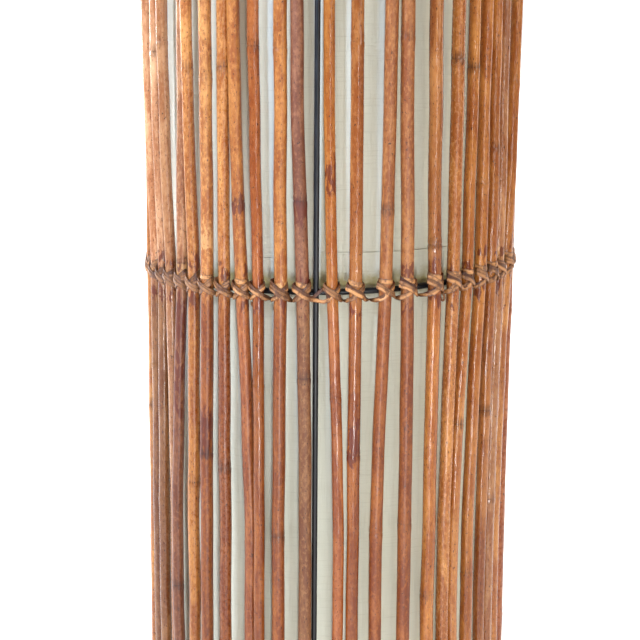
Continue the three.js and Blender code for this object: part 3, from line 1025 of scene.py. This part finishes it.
class LAMP_OT_feet(bpy.types.Operator):
    """Mould the four rubber feet under the uprights"""

    bl_idname = "lamp.feet"
    bl_label = "Feet"

    def execute(self, context):
        settings = context.scene.lamp_hardware
        rubber = plain_finish(
            "foot_rubber", tuple(settings.rubber), shade("33312e"), 0.78, scale=600, depth=0.0002
        )
        for side in SIDES:
            low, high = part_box(f"foot_{side}")
            radius, tall = (high.x - low.x) / 2, high.z - low.z
            hole = UPRIGHT_RADIUS + 0.3 * MM
            profile = [
                (0, 0.6 * MM), (radius * 0.55, 0.6 * MM), (radius * 0.62, 0), (radius - 1.2 * MM, 0),
                (radius - 0.3 * MM, 0.4 * MM), (radius, 1.4 * MM), (radius, 3.6 * MM),
                (radius - 0.5 * MM, 4.2 * MM), (radius - 0.5 * MM, 5.0 * MM), (radius, 5.6 * MM),
                (radius - 0.5 * MM, tall - 2.6 * MM), (radius - 1.4 * MM, tall - 0.6 * MM),
                (radius - 2.6 * MM, tall), (hole + 0.5 * MM, tall), (hole, tall - 0.5 * MM),
                (hole, 4 * MM), (0, 4 * MM),
            ]
            piece = turned(f"rubber_foot_{side}", profile, 28)
            piece.location = (UPRIGHT_PLACE[side].x, UPRIGHT_PLACE[side].y, 0)
            settle(piece)
            smooth(piece, 40)
            hand_over(piece, "cane_frame", "rubber_foot", rubber, f"foot_{side}")
        return {"FINISHED"}


# ---------------------------------------------------------------- diffuser
SEAM_ANGLE = angle_of(UPRIGHT_PLACE["front"])  # the ends of a rolled sheet meet behind the front upright
SEAM_OPENING = 2e-4             # the angle left open between them
SHEET_COLUMNS = 180
SHEET_ROWS = 26
CLOTH_WALL = 0.8 * MM
CLOTH_RIPPLE = 0.25 * MM
LOWER_SHEET_SHORT = 6 * MM      # the lower sheet's top edge lies this far below the CAD sheet's
UPPER_SHEET_LONG = 4 * MM       # and the upper sheet reaches this much further down inside it


def rolled_sheet(name, node_name, skew):
    """A sheet of cloth rolled into a tube whose ends meet, with a UV map in metres.

    With a skew its upper edge sinks evenly, by that much once round.
    """
    low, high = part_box(node_name)
    if skew:
        high.z -= LOWER_SHEET_SHORT
    else:
        low.z -= UPPER_SHEET_LONG
    radius = high.x - CLOTH_WALL / 2
    tall = high.z - low.z
    deselect()
    bpy.ops.mesh.primitive_grid_add(x_subdivisions=SHEET_COLUMNS, y_subdivisions=SHEET_ROWS, size=1)
    piece = added(name)
    mesh = piece.data
    for vertex in mesh.vertices:
        along, up = vertex.co.x + 0.5, vertex.co.y + 0.5
        angle = SEAM_ANGLE + along * (2 * math.pi - SEAM_OPENING)
        height = low.z + up * tall
        height -= skew * along * max(0.0, (up - 0.5) * 2)
        ripple = CLOTH_RIPPLE * noise.noise(Vector((math.cos(angle) * 2, math.sin(angle) * 2, height * 7)))
        ripple -= CLOTH_RIPPLE
        vertex.co = round_place(radius + ripple, angle, height)
    mesh.uv_layers[0].name = "cloth"
    layer = mesh.uv_layers["cloth"].data
    for texel in layer:
        u, v = texel.uv
        texel.uv = (u * 2 * math.pi * radius, v * tall)
    apply_modifier(piece, "SOLIDIFY", thickness=CLOTH_WALL * 0.9, offset=0)
    smooth(piece, 50)
    return piece, radius, tall


def hem_tape(name, radius, edge, width, inward, upwards):
    """A tape folded over a free edge of the cloth: a narrow band outside, over the edge and inside."""
    sign = 1 if upwards else -1
    thin = 0.35 * MM
    outer = radius + 0.4 * MM
    profile = [
        (outer, edge - sign * width), (outer + thin, edge - sign * width),
        (outer + thin, edge - sign * 0.3 * MM), (radius, edge + sign * thin),
        (inward - thin, edge - sign * 0.3 * MM), (inward - thin, edge - sign * width),
        (inward, edge - sign * width), (inward, edge - sign * thin), (outer, edge - sign * thin),
        (outer, edge - sign * width),
    ]
    piece = turned(name, profile, 120)
    mesh = piece.data
    layer = mesh.uv_layers.new(name="cloth")
    for loop, texel in zip(mesh.loops, layer.data):
        spot = mesh.vertices[loop.vertex_index].co
        texel.uv = (angle_of(spot) * radius, spot.z)
    smooth(piece, 50)
    return piece


class LAMP_OT_diffuser(bpy.types.Operator):
    """Roll the two sheets of the diffuser, bind their free edges and put in the hoops"""

    bl_idname = "lamp.diffuser"
    bl_label = "Diffuser"

    def execute(self, context):
        settings = context.scene.lamp_cloth
        hardware = context.scene.lamp_hardware
        cloth, tape = woven_cloth(settings), woven_cloth(settings, tape=True)
        steel = plain_finish(
            "zinc_wire", tuple(hardware.zinc), shade("7e8183"), 0.34, scale=500, metallic=0.9
        )
        for level, skew in (("lower", settings.skew), ("upper", 0)):
            node_name = f"diffuser_{level}_sheet"
            piece, radius, tall = rolled_sheet(f"cloth_{level}", node_name, skew)
            hand_over(piece, "diffuser", "diffuser_cloth", cloth, node_name)
            low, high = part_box(node_name)
            upwards = level == "upper"
            edge = high.z - 0.4 * MM if upwards else low.z + 0.4 * MM
            hem = hem_tape(f"hem_{level}", radius, edge, settings.hem, radius - 0.5 * MM, upwards)
            hem.data.materials.append(tape)
            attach(hem, "diffuser")
            self.hoop(level, steel)
        return {"FINISHED"}

    def hoop(self, level, steel):
        node_name = f"diffuser_{level}_hoop"
        low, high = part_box(node_name)
        wire = (high.z - low.z) / 2
        deselect()
        bpy.ops.mesh.primitive_torus_add(
            major_segments=120,
            minor_segments=10,
            major_radius=high.x - wire,
            minor_radius=wire,
            location=(0, 0, (low.z + high.z) / 2),
        )
        piece = added(f"hoop_wire_{level}")
        settle(piece)
        smooth(piece, 80)
        hand_over(piece, "diffuser", "steel", steel, node_name)


# ---------------------------------------------------------------- bar, stem, nut and gland
class LAMP_OT_stem(bpy.types.Operator):
    """Make the bar across the lower ring, the stem through it, its nut and the cord gland"""

    bl_idname = "lamp.stem"
    bl_label = "Bar and stem"

    def execute(self, context):
        settings = context.scene.lamp_hardware
        self.bar(plain_finish("bar_paint", tuple(settings.paint), shade("23262b"), 0.4, scale=420))
        zinc = plain_finish("zinc_plating", tuple(settings.zinc), shade("7e8183"), 0.3, metallic=0.95)
        self.stem(zinc)
        self.nut(zinc)
        self.gland(plain_finish("gland_plastic", tuple(settings.plastic), shade("2a2a2c"), 0.42, scale=600))
        return {"FINISHED"}

    def bar(self, paint):
        low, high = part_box("base_bar")
        deselect()
        bpy.ops.mesh.primitive_cube_add(size=1, location=(low + high) / 2)
        piece = added("mounting_bar")
        piece.scale = high - low
        settle(piece)
        bpy.ops.object.mode_set(mode="EDIT")
        bpy.ops.mesh.select_all(action="SELECT")
        bpy.ops.mesh.bevel(offset=0.5 * MM, segments=2, affect="EDGES")
        bpy.ops.object.mode_set(mode="OBJECT")
        stem_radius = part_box("stem_tube")[1].x
        deselect()
        bpy.ops.mesh.primitive_cylinder_add(
            vertices=48, radius=stem_radius + 0.3 * MM, depth=20 * MM, location=(0, 0, high.z)
        )
        drill = added("drill")
        choose(piece)
        cut = piece.modifiers.new("hole", "BOOLEAN")
        cut.object = drill
        cut.solver = "EXACT"
        bpy.ops.object.modifier_apply(modifier=cut.name)
        bpy.data.objects.remove(drill)
        smooth(piece, 30)
        hand_over(piece, "cane_frame", "black_wire", paint, "base_bar")

    def stem(self, zinc):
        low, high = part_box("stem_tube")
        outer, bore = high.x, 4 * MM
        pitch, depth = 1.0 * MM, 0.35 * MM
        profile = [(bore, low.z)]
        thread_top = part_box("stem_nut")[1].z + 8 * MM
        z = low.z
        while z < thread_top:
            profile += [(outer - depth, z), (outer, z + pitch / 2)]
            z += pitch
        profile += [(outer - depth, z), (outer - 0.1 * MM, z + pitch), (outer - 0.1 * MM, high.z - 12 * MM)]
        z = high.z - 12 * MM
        while z < high.z - pitch:
            profile += [(outer - depth, z + pitch / 2), (outer, z + pitch)]
            z += pitch
        profile += [(outer - depth, high.z), (bore, high.z), (bore, low.z)]
        piece = turned("threaded_stem", profile, 28)
        smooth(piece, 25)
        hand_over(piece, "cane_frame", "steel", zinc, "stem_tube")

    def nut(self, zinc):
        low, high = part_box("stem_nut")
        reach = high.x
        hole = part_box("stem_tube")[1].x + 0.3 * MM
        tall = high.z - low.z
        deselect()
        bpy.ops.mesh.primitive_cylinder_add(
            vertices=6, radius=reach, depth=tall, location=(low + high) / 2, rotation=(0, 0, math.radians(30))
        )
        piece = added("hex_nut")
        settle(piece)
        chamfer = turned("chamfer", [
            (hole, low.z), (reach * 0.88, low.z), (reach * 1.001, low.z + 0.13 * tall),
            (reach * 1.001, high.z - 0.13 * tall), (reach * 0.88, high.z), (hole + 0.6 * MM, high.z),
            (hole, high.z - 0.6 * MM), (hole, low.z),
        ], 48)
        choose(piece)
        cut = piece.modifiers.new("chamfer", "BOOLEAN")
        cut.object = chamfer
        cut.operation = "INTERSECT"
        cut.solver = "EXACT"
        bpy.ops.object.modifier_apply(modifier=cut.name)
        bpy.data.objects.remove(chamfer)
        smooth(piece, 25)
        hand_over(piece, "cane_frame", "steel", zinc, "stem_nut")

    def gland(self, plastic):
        low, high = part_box("cord_gland")
        bore, wide = 4 * MM, high.x
        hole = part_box("stem_tube")[1].x + 0.3 * MM
        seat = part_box("stem_tube")[0].z - 0.3 * MM
        profile = [(bore, low.z + 0.6 * MM), (bore + 0.6 * MM, low.z), (wide * 0.66, low.z),
                   (wide * 0.72, low.z + 0.8 * MM), (wide * 0.9, low.z + 5 * MM)]
        ribs = 5
        start, end = low.z + 7 * MM, high.z - 2 * MM
        for k in range(ribs):
            z = start + (end - start) * k / ribs
            rib = (end - start) / ribs
            profile += [(wide * 0.93, z), (wide, z + 0.25 * rib),
                        (wide, z + 0.75 * rib), (wide * 0.93, z + rib * 0.98)]
        profile += [(wide, high.z - 1.2 * MM), (wide - 0.6 * MM, high.z),
                    (hole, high.z), (hole, seat), (bore, seat)]
        profile.append(profile[0])
        piece = turned("strain_gland", profile, 36)
        smooth(piece, 40)
        hand_over(piece, "cane_frame", "black_plastic", plastic, "cord_gland")


# ---------------------------------------------------------------- lampholder and bulb
class LAMP_OT_lampholder(bpy.types.Operator):
    """Turn the lampholder's cap and shell"""

    bl_idname = "lamp.lampholder"
    bl_label = "Lampholder"

    def execute(self, context):
        settings = context.scene.lamp_hardware
        plastic = plain_finish("holder_plastic", tuple(settings.plastic), shade("2a2a2c"), 0.36, scale=600)
        stem_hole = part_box("stem_tube")[1].x + 0.3 * MM
        low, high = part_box("lampholder_cap")
        wide = high.x
        cap = turned("holder_cap", [
            (stem_hole, low.z), (11 * MM, low.z),
            (12.4 * MM, low.z + 0.5 * MM), (14.6 * MM, low.z + 3.2 * MM),
            (16.8 * MM, low.z + 6 * MM), (wide - 0.3 * MM, low.z + 7.6 * MM), (wide, low.z + 8.6 * MM),
            (wide, high.z - 0.5 * MM), (wide - 0.5 * MM, high.z),
            (15.5 * MM, high.z), (15.5 * MM, low.z + 9.5 * MM),
            (11 * MM, low.z + 3 * MM), (stem_hole, low.z + 3 * MM), (stem_hole, low.z),
        ], 48)
        smooth(cap, 40)
        hand_over(cap, "cane_frame", "black_plastic", plastic, "lampholder_cap")
        low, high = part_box("lampholder_shell")
        body, collar, inside, floor = 18 * MM, high.x, 14.2 * MM, low.z + 8 * MM
        profile = [(8 * MM, low.z), (body - 0.5 * MM, low.z), (body, low.z + 0.5 * MM)]
        z = low.z + 5 * MM
        for _ in range(5):
            profile += [(body, z), (body - 0.5 * MM, z + 0.5 * MM)]
            profile += [(body - 0.5 * MM, z + 1.6 * MM), (body, z + 2.1 * MM)]
            z += 4.2 * MM
        profile += [
            (body, high.z - 7 * MM), (collar - 0.8 * MM, high.z - 6.4 * MM), (collar, high.z - 5.4 * MM),
            (collar, high.z - 0.8 * MM), (collar - 0.8 * MM, high.z), (inside + 0.6 * MM, high.z),
            (inside, high.z - 0.6 * MM), (inside, floor), (8 * MM, floor), (8 * MM, low.z),
        ]
        shell = turned("holder_shell", profile, 48)
        smooth(shell, 40)
        hand_over(shell, "cane_frame", "black_plastic", plastic, "lampholder_shell")
        return {"FINISHED"}


class LAMP_OT_bulb(bpy.types.Operator):
    """Turn the bulb's screw cap and blow its opal glass"""

    bl_idname = "lamp.bulb"
    bl_label = "Bulb"

    def execute(self, context):
        settings = context.scene.lamp_hardware
        brass = plain_finish("cap_brass", tuple(settings.brass), shade("8a6d36"), 0.3, metallic=0.95)
        low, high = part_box("bulb_cap")
        wide = high.x
        profile = [(0, low.z), (3.6 * MM, low.z), (4.5 * MM, low.z + 0.8 * MM), (9 * MM, low.z + 3.5 * MM),
                   (12 * MM, low.z + 4.6 * MM)]
        pitch = 3.6 * MM
        z = low.z + 5 * MM
        while z < high.z - pitch:
            profile += [(wide - 1.1 * MM, z), (wide - 0.35 * MM, z + 0.22 * pitch), (wide, z + 0.5 * pitch),
                        (wide - 0.35 * MM, z + 0.78 * pitch)]
            z += pitch
        profile += [(wide - 1.1 * MM, z), (wide - 0.6 * MM, high.z - 0.8 * MM),
                    (wide - 0.6 * MM, high.z), (0, high.z)]
        cap = turned("screw_cap", profile, 48)
        smooth(cap, 60)
        hand_over(cap, "bulb", "bulb_brass", brass, "bulb_cap")
        self.glass(settings)
        return {"FINISHED"}

    def glass(self, settings):
        """A round bulb: a ball that runs into a narrow neck, as a thin shell."""
        low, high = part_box("bulb_glass")
        neck, ball = 13.2 * MM, high.x * 0.995
        centre = high.z - ball
        join_z = centre - ball * 0.72
        join_r = math.sqrt(ball**2 - (join_z - centre) ** 2)
        profile = [(neck, low.z), (neck + 0.1 * MM, low.z + 4 * MM)]
        steps = 8
        for k in range(1, steps):
            t = k / steps
            eased = t * t * (3 - 2 * t)
            z = low.z + 4 * MM + (join_z - low.z - 4 * MM) * t
            profile.append((neck + (join_r - neck) * eased**1.3, z))
        start = math.asin((join_z - centre) / ball)
        turns = 18
        for k in range(turns + 1):
            lift = start + (math.pi / 2 - start) * k / turns
            profile.append((ball * math.cos(lift) if k < turns else 0, centre + ball * math.sin(lift)))
        piece = turned("glass_bulb", profile, 64)
        apply_modifier(piece, "SOLIDIFY", thickness=0.9 * MM, offset=-1)
        smooth(piece, 80)
        material, tree, shader = new_material("opal_glass")
        haze = grain(tree, place_on(tree), 60, detail=3)
        colour = mixed(tree, ramp(tree, haze, 0.35, 0.65), tuple(settings.glass), shade("e9e5d8"))
        connect(tree, shader, Base_Color=colour, Roughness=ramp(tree, haze, 0.3, 0.7, 0.1, 0.18))
        shader.inputs["Subsurface Weight"].default_value = 0.4
        shader.inputs["Subsurface Scale"].default_value = 0.004
        hand_over(piece, "bulb", "opal_glass", material, "bulb_glass")


# ---------------------------------------------------------------- camera, floor and light
class LAMP_OT_stage(bpy.types.Operator):
    """Set up the floor, the light and the camera"""

    bl_idname = "lamp.stage"
    bl_label = "Stage"

    def execute(self, context):
        settings = context.scene.lamp_stage
        self.floor(settings)
        self.light(context, settings)
        self.camera(context, settings)
        context.scene.view_settings.view_transform = "Standard"
        return {"FINISHED"}

    def floor(self, settings):
        """A sheet of pale floor that curves up into a backdrop."""
        deselect()
        bpy.ops.mesh.primitive_plane_add(size=24, location=(0, 0, 0))
        piece = added("studio_floor")
        bpy.ops.object.mode_set(mode="EDIT")
        select_by(piece, "edges", lambda e: min(v.co.y for v in e.verts) > 11)
        rise, turns = 3.0, 10
        for k in range(turns):
            lift = math.pi / 2 * (k + 0.5) / turns
            step = rise * math.pi / 2 / turns
            bpy.ops.mesh.extrude_region_move(
                TRANSFORM_OT_translate={"value": (0, step * math.cos(lift), step * math.sin(lift))}
            )
        bpy.ops.mesh.extrude_region_move(TRANSFORM_OT_translate={"value": (0, 0, 8)})
        bpy.ops.object.mode_set(mode="OBJECT")
        smooth(piece, 60)
        material, tree, shader = new_material("studio_floor")
        wear = grain(tree, place_on(tree), 3, detail=2)
        colour = mixed(tree, ramp(tree, wear, 0.3, 0.7, 0, 0.3), tuple(settings.floor), shade("f1f0ee"))
        connect(tree, shader, Base_Color=colour)
        shader.inputs["Roughness"].default_value = 0.9
        piece.data.materials.append(material)

    def light(self, context, settings):
        world = bpy.data.worlds.new("daylight")
        world.use_nodes = True
        background = world.node_tree.nodes["Background"]
        background.inputs["Color"].default_value = shade("f7f9ff")
        background.inputs["Strength"].default_value = settings.daylight
        context.scene.world = world
        target = Vector((0, 0, RING_HEIGHT["middle"]))
        for name, place, size, power, tint, aim in (
            ("left_window", (-2.3, -1.7, 2.0), (1.2, 1.5), 88, "dfe9ff", target),
            ("back_left_window", (-2.1, 1.5, 1.4), (0.5, 1.8), 85, "f4f6ff", target),
            ("back_right_window", (2.3, 1.2, 1.2), (0.4, 1.6), 14, "fff8f0", target),
            ("right_window", (2.2, -1.8, 1.4), (0.9, 1.6), 26, "fff6ea", target),
            ("low_strip", (0.06, -1.2, 0.28), (0.08, 0.3), 4.2, "ffffff", Vector((0.06, 0, 0.28))),
            ("high_strip", (0.4, -1.2, 0.62), (0.04, 0.3), 1.6, "ffffff", Vector((0.4, 0, 0.62))),
            ("overhead", (0, 2.5, 3.4), (4.0, 4.0), 150, "ffffff", Vector((0, 3, 0))),
            ("backdrop_light", (0, 7.0, 5.5), (10.0, 6.0), 1000, "ffffff", Vector((0, 8.4, 0))),
        ):
            deselect()
            bpy.ops.object.light_add(type="AREA", location=place)
            lamp = added(name)
            lamp.data.shape = "RECTANGLE"
            lamp.data.size, lamp.data.size_y = size
            lamp.data.energy = power
            lamp.data.color = shade(tint)[:3]
            lamp.visible_camera = False
            lamp.rotation_euler = (aim - Vector(place)).to_track_quat("-Z", "Y").to_euler()
        self.sky_patch()

    def sky_patch(self):
        """Cool light that falls only on the left of the lamp, above the middle ring."""
        place, aim = Vector((-0.75, -1.5, 1.7)), Vector((-0.075, -0.13, 0.775))
        deselect()
        bpy.ops.object.light_add(type="SPOT", location=place)
        lamp = added("sky_patch")
        lamp.data.energy = 130
        lamp.data.color = shade("b9d2ff")[:3]
        lamp.data.spot_size = math.radians(18)
        lamp.data.spot_blend = 1.0
        lamp.data.shadow_soft_size = 0.12
        lamp.rotation_euler = (aim - place).to_track_quat("-Z", "Y").to_euler()

    def camera(self, context, settings):
        deselect()
        bpy.ops.object.camera_add(
            location=(0, -settings.eye_distance, RING_HEIGHT["middle"] + settings.eye_height)
        )
        eye = added("camera")
        turn = Matrix.Rotation(settings.turn, 3, "Z")
        tip = Matrix.Rotation(math.pi / 2 - settings.look_down, 3, "X")
        roll = Matrix.Rotation(settings.roll, 3, "Z")
        eye.rotation_euler = (turn @ tip @ roll).to_euler()
        eye.data.lens = settings.lens
        eye.data.clip_end = 100
        context.scene.camera = eye


# ---------------------------------------------------------------- panel and registration
STEPS = (
    LAMP_OT_stage,
    LAMP_OT_canes,
    LAMP_OT_lashings,
    LAMP_OT_wires,
    LAMP_OT_feet,
    LAMP_OT_diffuser,
    LAMP_OT_stem,
    LAMP_OT_lampholder,
    LAMP_OT_bulb,
)


class LAMP_PT_panel(bpy.types.Panel):
    """Buttons and settings for the lamp"""

    bl_label = "Cane column lamp"
    bl_idname = "LAMP_PT_panel"
    bl_space_type = "VIEW_3D"
    bl_region_type = "UI"
    bl_category = "Cane lamp"

    def draw(self, context):
        for step in STEPS:
            self.layout.operator(step.bl_idname)
        for name in SETTINGS:
            settings = getattr(context.scene, name)
            box = self.layout.box()
            box.label(text=settings.bl_rna.description)
            for key in settings.__annotations__:
                box.prop(settings, key)


CLASSES = (*SETTINGS.values(), *STEPS, LAMP_PT_panel)


def register():
    for each in CLASSES:
        bpy.utils.register_class(each)
    for name, group in SETTINGS.items():
        setattr(bpy.types.Scene, name, bpy.props.PointerProperty(type=group))


def unregister():
    for name in SETTINGS:
        delattr(bpy.types.Scene, name)
    for each in reversed(CLASSES):
        bpy.utils.unregister_class(each)


def main():
    register()
    for step in STEPS:
        group, action = step.bl_idname.split(".")
        getattr(getattr(bpy.ops, group), action)()


if __name__ == "__main__":
    main()
